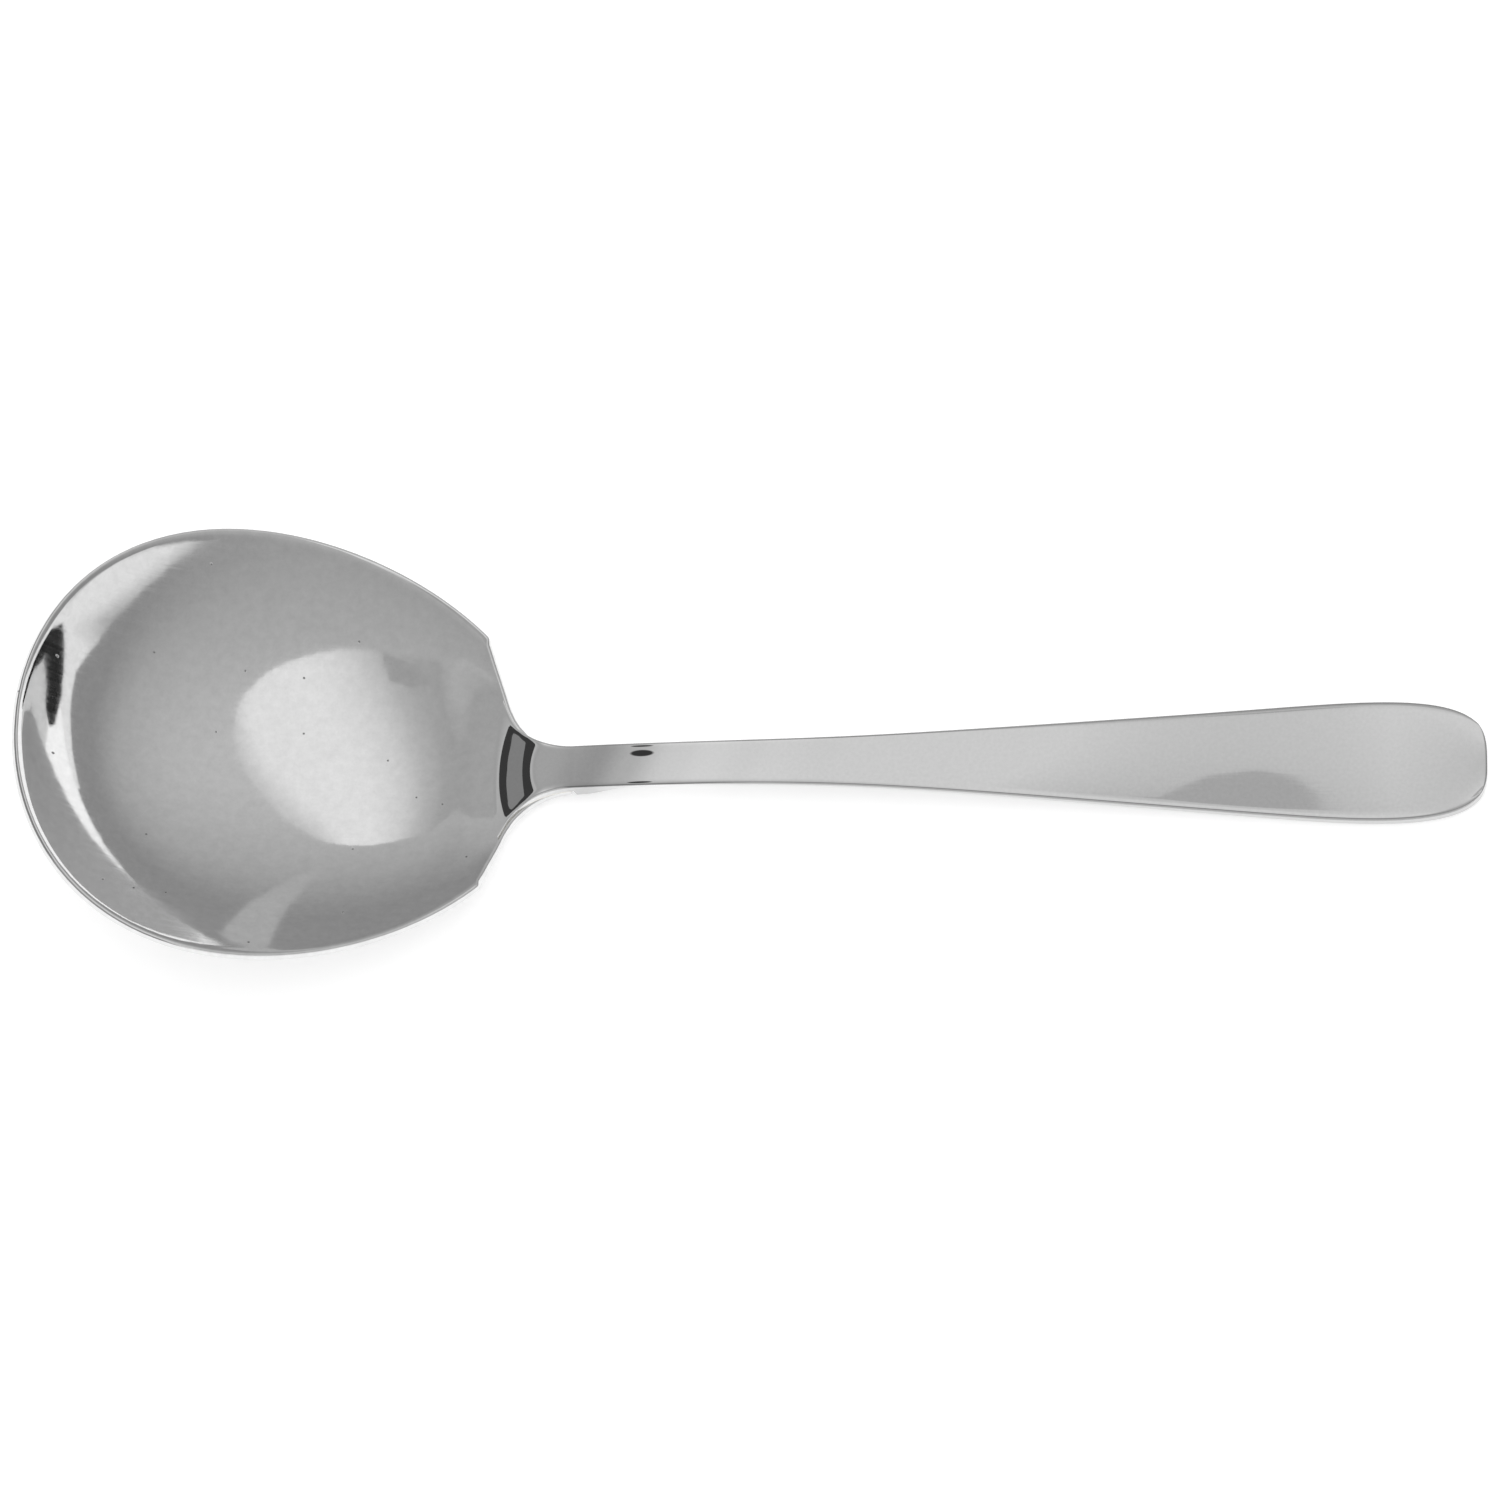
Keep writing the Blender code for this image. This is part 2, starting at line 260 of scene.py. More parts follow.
def place_on_bowl(u, v, upper):
    spoke = round(math.atan2(v, u) / math.tau * len(bowl_outline)) % len(bowl_outline)
    ring = round(math.hypot(u, v) * BOWL_RINGS)
    x, y = bowl_outline[spoke]
    if ring < BOWL_RINGS:
        x, y = bowl_centre.lerp(inside_rim(spoke), ring / (BOWL_RINGS - 1))
    if upper:
        return Vector((x, y, bowl_height(x, y))) + SHEET * bowl_normal(x, y)
    return Vector((x, y, max(bowl_height(x, y), 0.0)))


bowl_disc = bmesh.new()
bmesh.ops.create_circle(bowl_disc, cap_ends=True, cap_tris=True, segments=len(bowl_outline), radius=1)
spoke_edges = [edge for edge in bowl_disc.edges if not edge.is_boundary]
bmesh.ops.subdivide_edges(bowl_disc, edges=spoke_edges, cuts=BOWL_RINGS - 1, use_grid_fill=True)
bowl = slab("polished_bowl", bowl_disc, place_on_bowl, RIM_ROUND)

NOISE_LOW = 0.3
NOISE_HIGH = 0.7
BOWL_GREY = 0.75
CLOUD_SWING = 0.045
CLOUDS_PER_METRE = 700.0
PIT_GREY = 0.3
PITS_PER_METRE = 230.0
PIT_OUTER = 0.05
PIT_INNER = 0.02
PIT_DRAW = 0.92
PIT_DULLNESS = 0.4
PIT_DEPTH = 12.0
LINE_TURN = math.radians(12.0)
LINES_PER_METRE = (90.0, 2600.0, 90.0)
BOWL_GLOSS = (0.045, 0.085)
BOWL_RIPPLE = 0.0008 * MM


def grey(tone):
    return (tone, tone, tone, 1.0)


def set_greys(ramp, stops):
    """Give a colour ramp its stops, each a position and a grey tone."""
    for _ in stops[2:]:
        ramp.elements.new(0.5)
    for element, (position, tone) in zip(ramp.elements, stops):
        element.position = position
        element.color = grey(tone)


def fade_between(finish, value, start, end, tones=(0.0, 1.0)):
    """A tone that goes from the first to the second of tones as a value goes from start to end."""
    fade = finish.node_tree.nodes.new("ShaderNodeMapRange")
    fade.inputs["From Min"].default_value = start
    fade.inputs["From Max"].default_value = end
    fade.inputs["To Min"].default_value = tones[0]
    fade.inputs["To Max"].default_value = tones[1]
    finish.node_tree.links.new(value, fade.inputs["Value"])
    return fade.outputs["Result"]


def combine(finish, operation, *values):
    """One value worked out from several, each a socket or a plain number."""
    result = finish.node_tree.nodes.new("ShaderNodeMath")
    result.operation = operation
    for value, socket in zip(values, result.inputs):
        if isinstance(value, bpy.types.NodeSocket):
            finish.node_tree.links.new(value, socket)
        else:
            socket.default_value = value
    return result.outputs[0]


def darken_spots(finish, tone, spots, spot_grey):
    """The tone with dark spots of one grey in it, where the spots' mask is 1."""
    spotted = finish.node_tree.nodes.new("ShaderNodeMix")
    spotted.data_type = "RGBA"
    spotted.inputs["B"].default_value = grey(spot_grey)
    finish.node_tree.links.new(spots, spotted.inputs["Factor"])
    finish.node_tree.links.new(tone, spotted.inputs["A"])
    return spotted.outputs["Result"]


bowl_steel = bpy.data.materials.new("bowl_mirror_steel")
bowl_steel.use_nodes = True
nodes = bowl_steel.node_tree.nodes
links = bowl_steel.node_tree.links
shader = nodes["Principled BSDF"]
shader.inputs["Metallic"].default_value = 1.0
spot = nodes.new("ShaderNodeTexCoord")

# Small pits in the polish, dark and a little sunk
pit_cells = nodes.new("ShaderNodeTexVoronoi")
pit_cells.voronoi_dimensions = "2D"
pit_cells.inputs["Scale"].default_value = PITS_PER_METRE
links.new(spot.outputs["Object"], pit_cells.inputs["Vector"])
pit_draw = nodes.new("ShaderNodeSeparateColor")
links.new(pit_cells.outputs["Color"], pit_draw.inputs["Color"])
pit_chosen = combine(bowl_steel, "GREATER_THAN", pit_draw.outputs["Red"], PIT_DRAW)
pit_mask = fade_between(bowl_steel, pit_cells.outputs["Distance"], PIT_OUTER, PIT_INNER)
pits = combine(bowl_steel, "MULTIPLY", pit_mask, pit_chosen)

# Cloudy tone of hand polishing
cloud = nodes.new("ShaderNodeTexNoise")
cloud.inputs["Scale"].default_value = CLOUDS_PER_METRE
cloud.inputs["Detail"].default_value = 8.0
cloud.inputs["Roughness"].default_value = 0.7
links.new(spot.outputs["Object"], cloud.inputs["Vector"])
bowl_tone = nodes.new("ShaderNodeValToRGB")
bowl_greys = ((NOISE_LOW, BOWL_GREY - CLOUD_SWING), (NOISE_HIGH, BOWL_GREY + CLOUD_SWING))
set_greys(bowl_tone.color_ramp, bowl_greys)
links.new(cloud.outputs["Fac"], bowl_tone.inputs["Fac"])
links.new(darken_spots(bowl_steel, bowl_tone.outputs["Color"], pits, PIT_GREY), shader.inputs["Base Color"])

# Fine polishing lines across the bowl, felt in the gloss and as faint ripples
line_stretch = nodes.new("ShaderNodeMapping")
line_stretch.inputs["Rotation"].default_value = (0.0, 0.0, LINE_TURN)
line_stretch.inputs["Scale"].default_value = LINES_PER_METRE
links.new(spot.outputs["Object"], line_stretch.inputs["Vector"])
lines = nodes.new("ShaderNodeTexNoise")
lines.inputs["Scale"].default_value = 1.0
lines.inputs["Detail"].default_value = 3.0
links.new(line_stretch.outputs["Vector"], lines.inputs["Vector"])
gloss = fade_between(bowl_steel, lines.outputs["Fac"], NOISE_LOW, NOISE_HIGH, BOWL_GLOSS)
links.new(combine(bowl_steel, "MULTIPLY_ADD", pits, PIT_DULLNESS, gloss), shader.inputs["Roughness"])
ripples = nodes.new("ShaderNodeBump")
ripples.inputs["Distance"].default_value = BOWL_RIPPLE
ripple_height = combine(bowl_steel, "MULTIPLY_ADD", pits, -PIT_DEPTH, lines.outputs["Fac"])
links.new(ripple_height, ripples.inputs["Height"])
links.new(ripples.outputs["Normal"], shader.inputs["Normal"])
bowl.data.materials.append(bowl_steel)

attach(bowl, "root")
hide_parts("bowl")

# Braze layer
# The film of silver brazing alloy between the tang and the tongue. It was drawn into the lap when hot and
# is dressed flush, so only a hairline shows round the neck.

BRAZE_INSET = 0.02 * MM
JOINT_GAP = 0.3 * MM
BRAZE_LOW = 0.02 * MM
BRAZE_HIGH = 0.28 * MM
BRAZE_ROUND = 0.02 * MM
BRAZE_ROWS = 24
BRAZE_COLUMNS = 24


def seat_height(x, y, clearance):
    rise_y = (seat_curve(y + SLOPE_STEP) - seat_curve(y - SLOPE_STEP)) / (2 * SLOPE_STEP)
    return tang_height(x, y) + (SHEET + clearance) * math.hypot(1, TANG_SLOPE, rise_y)


def tongue_spot(edge_x, v):
    """Plan point of the row that meets the tongue's edge at edge_x, and how far it is behind the nose."""
    fade = 1 - ease((edge_x - TONGUE_X) / (TANG_END_X - TONGUE_X))
    bulge = TONGUE_BULGE * (1 - v * v)
    return edge_x - bulge * fade, v * tongue_half_width(edge_x), edge_x - TONGUE_X + bulge * (1 - fade)


def place_in_lap(u, v, upper):
    first_x = TONGUE_X + BRAZE_INSET
    last_x = TANG_END_X - BRAZE_INSET
    x, y, _ = tongue_spot(first_x + (last_x - first_x) * (u + 1) / 2, v)
    y -= v * BRAZE_INSET
    return Vector((x, y, seat_height(x, y, BRAZE_HIGH if upper else BRAZE_LOW)))


braze_grid = bmesh.new()
bmesh.ops.create_grid(braze_grid, x_segments=BRAZE_ROWS, y_segments=BRAZE_COLUMNS, size=1)
braze = slab("braze_film", braze_grid, place_in_lap, BRAZE_ROUND)

BRAZE_COLOUR = (0.74, 0.72, 0.66, 1.0)
BRAZE_ROUGHNESS = 0.3
braze_alloy = bpy.data.materials.new("silver_braze")
braze_alloy.use_nodes = True
shader = braze_alloy.node_tree.nodes["Principled BSDF"]
shader.inputs["Base Color"].default_value = BRAZE_COLOUR
shader.inputs["Metallic"].default_value = 1.0
shader.inputs["Roughness"].default_value = BRAZE_ROUGHNESS
braze.data.materials.append(braze_alloy)

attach(braze, "root")
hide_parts("braze_layer")

# Handle
# A stamped steel bar, ground and polished. Its front is a flared tongue with a rounded step, lapped over
# the bowl's tang, then come a slim stem and a lightly dished blade that widens to a round end.

TONGUE_THICKNESS = 1.65 * MM
HEEL_RUN = 6.9 * MM
HEEL_RAMP = 0.4
NOSE = 0.15 * MM
NECK_THICKNESS = (SHEET + JOINT_GAP) * math.hypot(1, TANG_SLOPE) + TONGUE_THICKNESS
STEP_X = TANG_END_X + JOINT_GAP
END_THICKNESS = 2.0 * MM
END_CORNER_WIDTH = 12.0 * MM
REST_X = END_X - 14.0 * MM
DISH = 0.2 * MM
DISH_RUN = 30.0 * MM
EDGE_ROUND = 0.8 * MM
EDGE_DROP = TONGUE_THICKNESS / 3
END_EDGE_ROUND = 0.3 * MM
END_GUARD = 0.05 * MM
UNDERCUT = 1.0 * MM
UNDERCUT_RUN = 10.0 * MM
STEP_LEAN = 0.3 * MM
TONGUE_ROWS = 44
STEM_ROWS = 150
END_ROWS = 50
FACE_COLUMNS = 14
EDGE_FACETS = 6
EDGE_COLUMNS = EDGE_FACETS + 1


def handle_underside(x):
    if x >= REST_X:
        return 0.0
    run = REST_X - TANG_END_X
    t = (x - TANG_END_X) / run
    from_tang = tang_height(TANG_END_X, 0.0) * (2 * t**3 - 3 * t**2 + 1)
    return from_tang + run * TANG_SLOPE * (t**3 - 2 * t**2 + t)


def undercut(x):
    """How much narrower the underside is than the top on each side: most at the neck, none at the end."""
    left = (END_X - x) / (END_X - STEP_X)
    return UNDERCUT * left * ease((x - STEP_X) / UNDERCUT_RUN)


def handle_thickness(x):
    share = (x - STEP_X) / (END_X - STEP_X)
    return NECK_THICKNESS + (END_THICKNESS - NECK_THICKNESS) * max(share, 0.0)


def end_outline_x(y):
    """How far the rounded end reaches at a distance y from the middle."""
    near, far = END_X - END_ROUNDING / 2, END_X
    for _ in range(BISECTIONS):
        middle = (near + far) / 2
        if blade_half_width(middle) > abs(y):
            near = middle
        else:
            far = middle
    return near


END_START_X = END_X - END_ROUNDING
END_CORNER_X = end_outline_x(END_CORNER_WIDTH / 2)
FLAT_END_X = END_CORNER_X - END_EDGE_ROUND


def edge_turns(step):
    """Angle of the rounded edge at a step from the face, a quarter turn at the side."""
    return math.radians(90) * min(max(step, 0) / EDGE_FACETS, 1.0)


def handle_row_places():
    """Where each row meets the side of the handle, and its turn round the end's edge."""
    guard_x = FLAT_END_X - END_GUARD
    tongue_run = STEP_X - TONGUE_X
    stem_x = STEP_X + STEP_LEAN
    stem_run = END_START_X - stem_x
    end_run = guard_x - END_START_X
    rows = [(TONGUE_X + tongue_run * row / TONGUE_ROWS, 0.0) for row in range(TONGUE_ROWS + 1)]
    rows += [(stem_x + stem_run * row / STEM_ROWS, 0.0) for row in range(STEM_ROWS)]
    rows += [(END_START_X + end_run * row / END_ROWS, 0.0) for row in range(END_ROWS + 1)]
    for row in range(EDGE_COLUMNS + 1):
        turn = edge_turns(row)
        rows.append((FLAT_END_X + END_EDGE_ROUND * math.sin(turn), turn))
    return rows


handle_rows = handle_row_places()
LAST_ROW = len(handle_rows) - 1
SIDE_COLUMN = FACE_COLUMNS + EDGE_COLUMNS


def heel_rise(t):
    """Rise of the tongue's step from 0 to 1: its slope ramps up, holds and ramps down."""
    t = min(max(t, 0.0), 1.0)
    steepest = 1 / (1 - HEEL_RAMP)
    if t < HEEL_RAMP:
        return steepest * t * t / (2 * HEEL_RAMP)
    if t > 1 - HEEL_RAMP:
        return 1 - steepest * (1 - t) ** 2 / (2 * HEEL_RAMP)
    return steepest * (t - HEEL_RAMP / 2)


def dish_rise(x, y, v):
    """How far the dished top has risen across it: as the seat at the neck, then evenly."""
    along = ease((x - STEP_X) / DISH_RUN)
    at_neck = seat_height(STEP_X, y, JOINT_GAP) - seat_height(STEP_X, 0.0, JOINT_GAP)
    return (1 - along) * at_neck + along * DISH * v * v


def place_on_handle(u, v, upper):
    row = round((u + 1) / 2 * LAST_ROW)
    column = round(v * SIDE_COLUMN)
    edge_x, end_turn = handle_rows[row]
    lapped = row <= TONGUE_ROWS
    half = tongue_half_width(edge_x)
    side_turn = edge_turns(abs(column) - FACE_COLUMNS)
    face_share = min(abs(column) / FACE_COLUMNS, 1.0)
    from_middle = (half - EDGE_ROUND) * face_share + EDGE_ROUND * math.sin(side_turn)
    across = math.copysign(from_middle / half, column)
    x, y, behind = tongue_spot(edge_x, across)
    into_end = ease((edge_x - END_START_X) / (FLAT_END_X - END_START_X))
    x += (end_outline_x(across * END_CORNER_WIDTH / 2) - END_CORNER_X) * into_end
    if lapped:
        lower = seat_height(x, y, JOINT_GAP)
        top = lower + NOSE + (TONGUE_THICKNESS - NOSE) * heel_rise(behind / HEEL_RUN)
    else:
        lower = handle_underside(x)
        top = lower + handle_thickness(x) + dish_rise(x, y, across)
    if abs(column) == SIDE_COLUMN or row == LAST_ROW:
        return Vector((x, y - across * undercut(x) / 2, (top + lower) / 2))
    side_drop = min(EDGE_DROP, (top - lower) / 3) * (1 - math.cos(side_turn))
    end_drop = END_EDGE_ROUND * (1 - math.cos(end_turn))
    drop = max(side_drop, end_drop)
    if upper:
        return Vector((x, y, top - drop))
    return Vector((x, y - across * undercut(x), lower if lapped else lower + drop))


handle_grid = bmesh.new()
bmesh.ops.create_grid(handle_grid, x_segments=LAST_ROW, y_segments=2 * SIDE_COLUMN, size=1)
handle = slab("polished_handle", handle_grid, place_on_handle, 0.0)

NECK_LEAN = (1.0, -0.4, 0.0)
# Painted reflection: greys along the handle, darker behind the heel and lighter at the stem, in place of
# darker and brighter reflections
HANDLE_PAINTED_REFLECTION = (
    (-32.0 * MM, 0.75), (-24.3 * MM, 0.555), (-19.5 * MM, 0.725), (-14.0 * MM, 0.885),
    (-9.8 * MM, 0.845), (0.0 * MM, 0.71), (12.0 * MM, 0.62),
)
PAINTED_REFLECTION_FROM = HANDLE_PAINTED_REFLECTION[0][0]
PAINTED_REFLECTION_TO = HANDLE_PAINTED_REFLECTION[-1][0]
# Painted shade on the rounded edges, by how far the surface has turned away from facing up
EDGE_PAINTED_SHADE = ((0.2, 1.0), (0.35, 0.68), (0.83, 0.68), (0.915, 1.0))
SPECKLE_SWING = 0.016
SPECKLES_PER_METRE = 1800.0
# Painted dark reflections near the neck, an almond and two edge hairlines
DARK_REFLECTION_GREY = 0.06
DARK_REFLECTION_OUTER = 1.1
DARK_REFLECTION_INNER = 0.85
PAINTED_DARK_REFLECTIONS = (
    ((-17.2 * MM, 1.7 * MM, 6.0 * MM), (1.8 * MM, 0.52 * MM, 1.2 * MM)),
    ((-17.2 * MM, 2.84 * MM, 6.0 * MM), (1.7 * MM, 0.13 * MM, 1.2 * MM)),
    ((-17.4 * MM, -3.06 * MM, 6.0 * MM), (1.9 * MM, 0.13 * MM, 1.2 * MM)),
)
GRAIN_PER_METRE = (45.0, 2400.0, 45.0)
HANDLE_GLOSS = (0.02, 0.045)
HANDLE_RIPPLE = 0.0002 * MM


def reach_along(finish, place, lean):
    """How far a place lies along a direction."""
    reach = finish.node_tree.nodes.new("ShaderNodeVectorMath")
    reach.operation = "DOT_PRODUCT"
    reach.inputs[1].default_value = lean
    finish.node_tree.links.new(place, reach.inputs[0])
    return reach.outputs["Value"]


handle_steel = bpy.data.materials.new("handle_polished_steel")
handle_steel.use_nodes = True
nodes = handle_steel.node_tree.nodes
links = handle_steel.node_tree.links
shader = nodes["Principled BSDF"]
shader.inputs["Metallic"].default_value = 1.0
spot = nodes.new("ShaderNodeTexCoord")

# The handle's grey is painted along its length: darker behind the heel and lighter where the stem begins,
# as painted shade and painted highlight in place of reflections, then even along the blade, where it stays
# below the bowl's grey as painted shade for its dimmer reflection
along_handle = reach_along(handle_steel, spot.outputs["Object"], NECK_LEAN)
painted_reflection_ramp = nodes.new("ShaderNodeValToRGB")
painted_reflection_ramp.color_ramp.interpolation = "EASE"
painted_reflection_stops = [((x - PAINTED_REFLECTION_FROM) / (PAINTED_REFLECTION_TO - PAINTED_REFLECTION_FROM), tone) for x, tone in HANDLE_PAINTED_REFLECTION]
set_greys(painted_reflection_ramp.color_ramp, painted_reflection_stops)
links.new(fade_between(handle_steel, along_handle, PAINTED_REFLECTION_FROM, PAINTED_REFLECTION_TO), painted_reflection_ramp.inputs["Fac"])

# A fine speckle in the tone
speckle = nodes.new("ShaderNodeTexNoise")
speckle.inputs["Scale"].default_value = SPECKLES_PER_METRE
speckle.inputs["Detail"].default_value = 6.0
links.new(spot.outputs["Object"], speckle.inputs["Vector"])
swing = (-SPECKLE_SWING, SPECKLE_SWING)
speckle_tone = fade_between(handle_steel, speckle.outputs["Fac"], NOISE_LOW, NOISE_HIGH, swing)
handle_tone_and_painted_light = combine(handle_steel, "ADD", painted_reflection_ramp.outputs["Color"], speckle_tone)

# The rounded edge is painted darker where it turns over, a painted shade that deepens the dark reflections
# along the handle's edges
facing = nodes.new("ShaderNodeSeparateXYZ")
links.new(spot.outputs["Normal"], facing.inputs["Vector"])
painted_edge_shade = nodes.new("ShaderNodeValToRGB")
set_greys(painted_edge_shade.color_ramp, EDGE_PAINTED_SHADE)
links.new(facing.outputs["Z"], painted_edge_shade.inputs["Fac"])
handle_tone_and_painted_light = combine(handle_steel, "MULTIPLY", handle_tone_and_painted_light, painted_edge_shade.outputs["Color"])

# Painted dark reflections near the neck: one almond and a hairline at each edge, painted in a near-black
# grey
for reflection_place, reflection_size in PAINTED_DARK_REFLECTIONS:
    reflection_frame = nodes.new("ShaderNodeMapping")
    reflection_frame.vector_type = "TEXTURE"
    reflection_frame.inputs["Location"].default_value = reflection_place
    reflection_frame.inputs["Scale"].default_value = reflection_size
    links.new(spot.outputs["Object"], reflection_frame.inputs["Vector"])
    reflection_reach = nodes.new("ShaderNodeVectorMath")
    reflection_reach.operation = "LENGTH"
    links.new(reflection_frame.outputs["Vector"], reflection_reach.inputs[0])
    dark_reflection = fade_between(handle_steel, reflection_reach.outputs["Value"], DARK_REFLECTION_OUTER, DARK_REFLECTION_INNER)
    handle_tone_and_painted_light = darken_spots(handle_steel, handle_tone_and_painted_light, dark_reflection, DARK_REFLECTION_GREY)
links.new(handle_tone_and_painted_light, shader.inputs["Base Color"])

# Polishing lines along the handle, felt in the gloss and as faint ripples
grain_stretch = nodes.new("ShaderNodeMapping")
grain_stretch.inputs["Scale"].default_value = GRAIN_PER_METRE
links.new(spot.outputs["Object"], grain_stretch.inputs["Vector"])
grain = nodes.new("ShaderNodeTexNoise")
grain.inputs["Scale"].default_value = 1.0
grain.inputs["Detail"].default_value = 4.0
links.new(grain_stretch.outputs["Vector"], grain.inputs["Vector"])
grain_gloss = fade_between(handle_steel, grain.outputs["Fac"], NOISE_LOW, NOISE_HIGH, HANDLE_GLOSS)
links.new(grain_gloss, shader.inputs["Roughness"])
grain_ripples = nodes.new("ShaderNodeBump")
grain_ripples.inputs["Distance"].default_value = HANDLE_RIPPLE
links.new(grain.outputs["Fac"], grain_ripples.inputs["Height"])
links.new(grain_ripples.outputs["Normal"], shader.inputs["Normal"])
handle.data.materials.append(handle_steel)

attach(handle, "root")
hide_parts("handle")

# Table
# A plain white sheet that the spoon lies on. It takes the soft shadow.

TABLE_SIZE = 8.0
TABLE_DROP = 0.05 * MM
TABLE_GREY = 0.62
TABLE_ROUGHNESS = 0.9
TABLE_GLOW = 0.55
WHITE = (1.0, 1.0, 1.0, 1.0)
table_mesh = bmesh.new()
bmesh.ops.create_grid(table_mesh, x_segments=1, y_segments=1, size=TABLE_SIZE / 2)
bmesh.ops.translate(table_mesh, verts=table_mesh.verts, vec=(0, 0, -TABLE_DROP))
table_data = bpy.data.meshes.new("table")
table_mesh.to_mesh(table_data)
table_mesh.free()
table = bpy.data.objects.new("table", table_data)
bpy.context.collection.objects.link(table)
table_white = bpy.data.materials.new("table_white")
table_white.use_nodes = True
nodes = table_white.node_tree.nodes
links = table_white.node_tree.links
shader = nodes["Principled BSDF"]
shader.inputs["Base Color"].default_value = grey(TABLE_GREY)
shader.inputs["Roughness"].default_value = TABLE_ROUGHNESS
shader.inputs["Specular IOR Level"].default_value = 0.0
shader.inputs["Emission Color"].default_value = WHITE
rays = nodes.new("ShaderNodeLightPath")
seen = combine(table_white, "MAXIMUM", rays.outputs["Is Camera Ray"], rays.outputs["Is Glossy Ray"])
links.new(combine(table_white, "MULTIPLY", seen, TABLE_GLOW), shader.inputs["Emission Strength"])
table_data.materials.append(table_white)

# Studio light
# A grey room that is darker towards the horizon, a long overhead softbox that shows as the bright oval in
# the bowl, a white bounce board that shows as the crescent, and a broad fill lamp. Small cards, flags and
# mats give the finer reflections.

ROOM_GREYS = ((0.4, 0.32), (0.6, 0.465), (0.96, 0.61))
ROOM_LEAN = (0.11, 0.25, 0.95)
world = bpy.data.worlds.new("grey_room")
bpy.context.scene.world = world
world.use_nodes = True
nodes = world.node_tree.nodes
links = world.node_tree.links
direction = nodes.new("ShaderNodeTexCoord")
upness = reach_along(world, direction.outputs["Generated"], ROOM_LEAN)
room_tone = nodes.new("ShaderNodeValToRGB")
set_greys(room_tone.color_ramp, ROOM_GREYS)
links.new(upness, room_tone.inputs["Fac"])
links.new(room_tone.outputs["Color"], nodes["Background"].inputs["Color"])

CARD_FACETS = 8


def studio_card(name, corners, strength, corner_round=0.0):
    """A flat card that shows only in reflections, with an even glow, or dark at strength 0."""
    sheet = bmesh.new()
    points = [sheet.verts.new(corner) for corner in corners]
    sheet.faces.new(points)
    if corner_round:
        bmesh.ops.bevel(
            sheet, geom=points, offset=corner_round, segments=CARD_FACETS,
            affect="VERTICES", profile=0.5, material=-1,
        )
    mesh = bpy.data.meshes.new(name)
    sheet.to_mesh(mesh)
    sheet.free()
    card = bpy.data.objects.new(name, mesh)
    card.visible_camera = False
    card.visible_shadow = False
    card.visible_diffuse = False
    bpy.context.collection.objects.link(card)
    cloth = bpy.data.materials.new(name)
    cloth.use_nodes = True
    shader = cloth.node_tree.nodes["Principled BSDF"]
    shader.inputs["Base Color"].default_value = grey(0.0)
    shader.inputs["Specular IOR Level"].default_value = 0.0
    shader.inputs["Emission Color"].default_value = WHITE
    shader.inputs["Emission Strength"].default_value = strength
    mesh.materials.append(cloth)
    return cloth


# Softbox, dim towards the left and along its right rim, with a darker notch card just under it
SOFTBOX_HEIGHT = 1.1
SOFTBOX_OUTLINE = (
    (-0.62, 1.2), (-0.62, -0.5), (-0.14, -0.54), (0.0, -0.53), (0.16, -0.42), (0.24, -0.19), (0.235, 0.12),
    (0.19, 0.38), (0.14, 0.66), (0.085, 1.06), (-0.01, 1.48), (-0.14, 1.6), (-0.3, 1.52), (-0.48, 1.35),
)
SOFTBOX_CORNER = 0.075
SOFTBOX_GLOW = 0.95
SOFTBOX_DIM_LEAN = (1.0, 0.12, 0.0)
SOFTBOX_DIM_FROM = -0.62
SOFTBOX_DIM_TO = 0.02
SOFTBOX_DIM_STOPS = (
    (0.0, 0.53), (0.25, 0.43), (0.45, 0.46), (0.65, 0.57), (0.82, 0.79), (1.0, SOFTBOX_GLOW),
)
SOFTBOX_RIM_LEAN = (1.0, 0.17, 0.0)
SOFTBOX_RIM_FROM = 0.18
SOFTBOX_RIM_TO = 0.24
SOFTBOX_RIM_GLOWS = (SOFTBOX_GLOW, 0.72)
softbox_corners = [(x, y, SOFTBOX_HEIGHT) for x, y in SOFTBOX_OUTLINE]
softbox_cloth = studio_card("softbox", softbox_corners, SOFTBOX_GLOW, SOFTBOX_CORNER)
nodes = softbox_cloth.node_tree.nodes
links = softbox_cloth.node_tree.links
place = nodes.new("ShaderNodeTexCoord")
to_dim_side = reach_along(softbox_cloth, place.outputs["Object"], SOFTBOX_DIM_LEAN)
dim_reach = fade_between(softbox_cloth, to_dim_side, SOFTBOX_DIM_FROM, SOFTBOX_DIM_TO)
dim_side = nodes.new("ShaderNodeValToRGB")
set_greys(dim_side.color_ramp, SOFTBOX_DIM_STOPS)
links.new(dim_reach, dim_side.inputs["Fac"])
to_rim = reach_along(softbox_cloth, place.outputs["Object"], SOFTBOX_RIM_LEAN)
rim_glow = fade_between(softbox_cloth, to_rim, SOFTBOX_RIM_FROM, SOFTBOX_RIM_TO, SOFTBOX_RIM_GLOWS)
softbox_glow = combine(softbox_cloth, "MINIMUM", dim_side.outputs["Color"], rim_glow)
links.new(softbox_glow, nodes["Principled BSDF"].inputs["Emission Strength"])

NOTCH_HEIGHT = 1.09
NOTCH_GLOW = 0.42
NOTCH_OUTLINE = ((-0.15, -0.53), (-0.15, -0.36), (-0.24, -0.33), (-0.34, -0.37), (-0.30, -0.47))
studio_card("notch", [(x, y, NOTCH_HEIGHT) for x, y in NOTCH_OUTLINE], NOTCH_GLOW)

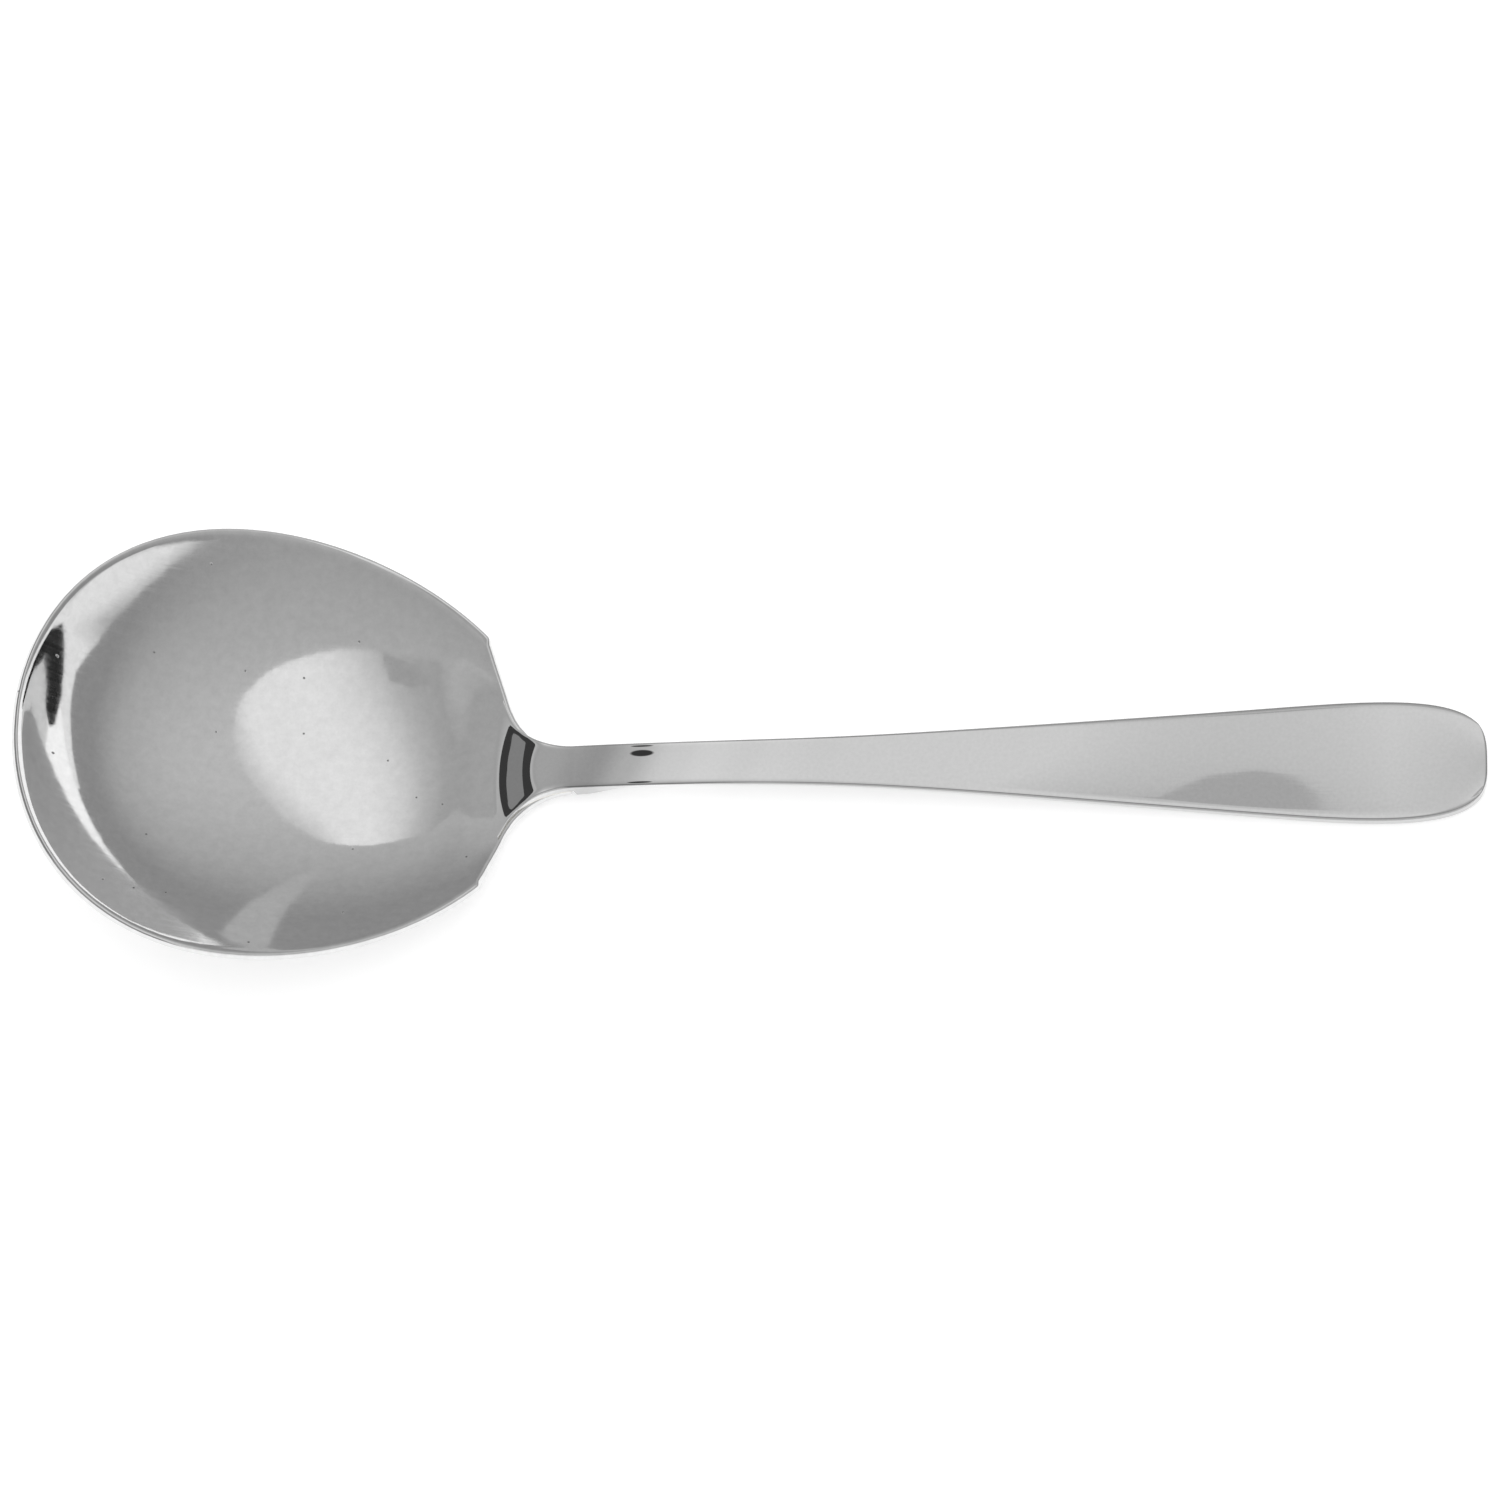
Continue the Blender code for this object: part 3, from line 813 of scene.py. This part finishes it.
# Grey card above and behind the handle, for the patch by its lower edge
PATCH_HEIGHT = 0.3
PATCH_GLOW = 0.58
PATCH_OUTLINE = (
    (0.062, 0.1615), (0.074, 0.1525), (0.083, 0.1465), (0.0855, 0.1375), (0.0885, 0.1305), (0.0935, 0.127),
    (0.0965, 0.1285), (0.0985, 0.1335), (0.1, 0.141), (0.0985, 0.165), (0.062, 0.168),
)
studio_card("grey_patch", [(x, y, PATCH_HEIGHT) for x, y in PATCH_OUTLINE], PATCH_GLOW)

# Bounce board, standing on the table, soft along its upper edge and firm at its far end
BOARD_ALONG = Vector((0.5, 0.866, 0.0))
BOARD_UP = Vector((0.0, 0.0, 1.0))
BOARD_FOOT = Vector((0.80, -0.50, 0.0))
BOARD_OUTLINE = (
    (2.6, 0.0), (2.6, 0.06), (0.82, 0.109), (0.58, 0.145), (0.45, 0.218), (0.185, 0.377), (-0.07, 0.534),
    (-0.28, 0.684), (-0.545, 0.911), (-1.0, 1.35), (-2.4, 2.4), (-2.4, 0.0),
)
BOARD_GLOW = 0.95
BOARD_DIM = 0.42
BOARD_EDGE = 0.615 * BOARD_ALONG + 0.788 * BOARD_UP
BOARD_FADE_FROM = BOARD_EDGE.dot(BOARD_FOOT) + 0.33
BOARD_FADE_TO = BOARD_EDGE.dot(BOARD_FOOT) + 0.4
BOARD_FIRM_FROM = 0.1
BOARD_FIRM_TO = 0.4
board_corners = [BOARD_FOOT + along * BOARD_ALONG + high * BOARD_UP for along, high in BOARD_OUTLINE]
board_cloth = studio_card("bounce_board", board_corners, BOARD_GLOW)
nodes = board_cloth.node_tree.nodes
links = board_cloth.node_tree.links
place = nodes.new("ShaderNodeTexCoord")
to_edge = reach_along(board_cloth, place.outputs["Object"], BOARD_EDGE)
soft_edge = fade_between(board_cloth, to_edge, BOARD_FADE_FROM, BOARD_FADE_TO, (BOARD_GLOW, BOARD_DIM))
along_board = reach_along(board_cloth, place.outputs["Object"], BOARD_ALONG)
firm_end = fade_between(board_cloth, along_board, BOARD_FIRM_FROM, BOARD_FIRM_TO, (BOARD_DIM, BOARD_GLOW))
board_glow = combine(board_cloth, "MAXIMUM", soft_edge, firm_end)
links.new(board_glow, nodes["Principled BSDF"].inputs["Emission Strength"])

# Dark flag beyond the bowl's tip for the bands at the heel, with a grey one below it
FLAG_X = -1.0
FLAG_DARK = 0.05
FLAG_GREY = 0.27
FLAG_LOWER_EDGE = (
    (1.9, 0.97), (0.95, 1.02), (0.7, 0.89), (0.5, 0.81), (0.38, 0.97), (0.27, 1.2), (-0.4, 1.36),
)
FLAG_UPPER_EDGE = ((-0.4, 1.85), (0.75, 1.50), (1.9, 1.25))
FLAG_FOOT = ((-0.4, 0.1), (1.9, 0.1))
studio_card("dark_flag", [(FLAG_X, y, z) for y, z in FLAG_LOWER_EDGE + FLAG_UPPER_EDGE], FLAG_DARK)
studio_card("grey_flag", [(FLAG_X, y, z) for y, z in FLAG_LOWER_EDGE + FLAG_FOOT], FLAG_GREY)

# Low flag and mats beside the handle, for the dark streak and the grey in the crescent
STREAK_X = 0.16
STREAK_OUTLINE = (
    (-0.052, 0.041), (-0.02, 0.022), (0.014, 0.0), (0.09, 0.0), (0.05, 0.018), (-0.02, 0.032),
)
MAT_HEIGHT = 0.5 * MM
MAT_DARK = 0.02
MAT_GREY = 0.72
DARK_MAT_OUTLINE = ((0.05, 0.048), (0.16, 0.014), (0.16, 0.09), (0.055, 0.062))
GREY_MAT_OUTLINE = (
    (-0.02, 0.034), (0.06, 0.018), (0.16, 0.0135), (0.05, 0.0475), (0.04, 0.058), (-0.02, 0.05),
)
studio_card("low_flag", [(STREAK_X, y, z) for y, z in STREAK_OUTLINE], MAT_DARK)
studio_card("dark_mat", [(x, y, MAT_HEIGHT) for x, y in DARK_MAT_OUTLINE], MAT_DARK)
studio_card("grey_mat", [(x, y, MAT_HEIGHT) for x, y in GREY_MAT_OUTLINE], MAT_GREY)

# Pale strip standing beyond the spoon, for the light wedge in the bowl's near wall
STRIP_Y = 1.2
STRIP_GLOW = 0.5
STRIP_OUTLINE = ((-0.07, 0.69), (-0.046, 0.04), (0.06, 0.04))
studio_card("pale_strip", [(x, STRIP_Y, z) for x, z in STRIP_OUTLINE], STRIP_GLOW)

FILL_SIZE = 4.0
FILL_WATTS = 60.0
FILL_HEIGHT = 2.5
fill = bpy.data.lights.new("fill", "AREA")
fill.size = FILL_SIZE
fill.energy = FILL_WATTS
fill_lamp = bpy.data.objects.new("fill", fill)
fill_lamp.location = (0.0, 0.0, FILL_HEIGHT)
fill_lamp.visible_glossy = False
fill_lamp.visible_camera = False
bpy.context.collection.objects.link(fill_lamp)

# Camera
# High over the spoon, a little towards the front edge of the table and the handle, with a long lens.

CAMERA_DISTANCE = 0.9931
CAMERA_TILT = math.radians(22.585)
CAMERA_SIDE = math.radians(5.902)
CAMERA_ROLL = math.radians(-0.9655)
CAMERA_LEFT = 1.29 * MM
CAMERA_UP = 4.02 * MM
FRAME_WIDTH = 227.78 * MM
SENSOR_WIDTH = 36.0
CLIP_START = 0.01
away = Vector((math.sin(CAMERA_SIDE), -math.sin(CAMERA_TILT), 0))
away.z = math.sqrt(1 - away.length_squared)
right = (Vector((1, 0, 0)) - away.x * away).normalized()
up = away.cross(right)
turn = Matrix.Rotation(CAMERA_ROLL, 3, away)
right = turn @ right
up = turn @ up
camera_data = bpy.data.cameras.new("camera")
camera_data.sensor_width = SENSOR_WIDTH
camera_data.lens = SENSOR_WIDTH * CAMERA_DISTANCE / FRAME_WIDTH
camera_data.clip_start = CLIP_START
camera = bpy.data.objects.new("camera", camera_data)
pose = Matrix((right, up, away)).transposed().to_4x4()
pose.translation = CAMERA_DISTANCE * away - CAMERA_LEFT * right + CAMERA_UP * up
camera.matrix_world = pose
bpy.context.collection.objects.link(camera)
bpy.context.scene.camera = camera
bpy.context.scene.view_settings.view_transform = "Standard"
